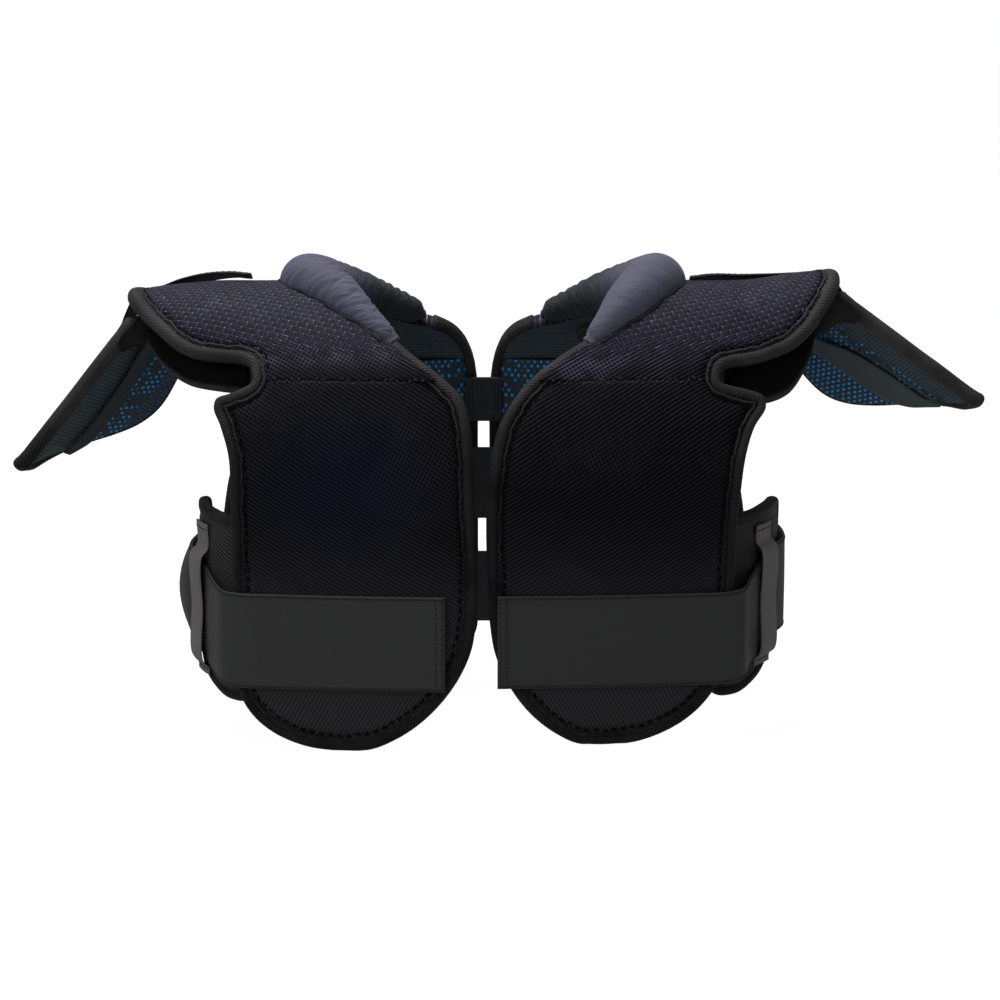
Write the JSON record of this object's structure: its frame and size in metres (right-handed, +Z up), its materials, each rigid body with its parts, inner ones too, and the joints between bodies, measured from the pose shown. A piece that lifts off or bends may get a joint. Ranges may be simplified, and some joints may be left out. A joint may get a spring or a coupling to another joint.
{
  "type": "football shoulder pads",
  "caption": "Soft football shoulder pads: two padded halves with neck rolls, short wings, upper arm flaps, side pads and wide elastic belts.",
  "frame": {"origin": "on the floor under the middle of the whole set", "axes": "+Z up, +X towards the wearer's left, so the chest pads face -Y"},
  "size_m": [0.802, 0.274, 0.3861],
  "materials": {
    "mesh": "black padded spacer mesh",
    "binding": "ribbed black edge binding",
    "roll": "slate satin cloth, stuffed and wrinkled",
    "cap": "plain black cloth over foam",
    "lining": "dark teal lining with bright blue dots",
    "elastic": "charcoal woven elastic"
  },
  "bodies": {
    "root": {"chest_pad_right": "mesh", "chest_pad_left": "mesh", "back_pad_right": "mesh", "back_pad_left": "mesh", "shoulder_pad_right": "mesh", "shoulder_pad_left": "mesh", "arm_flap_right": "mesh", "arm_flap_left": "mesh", "side_pad_right": "mesh", "side_pad_left": "mesh", "chest_binding_right": "binding", "chest_binding_left": "binding", "back_binding_right": "binding", "back_binding_left": "binding", "wing_binding_right": "binding", "wing_binding_left": "binding", "flap_binding_right": "binding", "flap_binding_left": "binding", "side_binding_right": "binding", "side_binding_left": "binding", "neck_roll_right": "roll", "neck_roll_left": "roll", "under_cap_right": "cap", "under_cap_left": "cap", "back_lining_right": "lining", "back_lining_left": "lining", "flap_lining_right": "lining", "flap_lining_left": "lining", "flap_strap_right": "elastic", "flap_strap_left": "elastic", "shoulder_strap_right": "elastic", "shoulder_strap_left": "elastic", "belt_right": "elastic", "belt_left": "elastic", "belt_keeper_right": "elastic", "belt_keeper_left": "elastic", "centre_strap_upper": "elastic", "centre_strap_middle": "elastic", "centre_strap_lower": "elastic", "inner_tab": "elastic"}
  },
  "joints": []
}
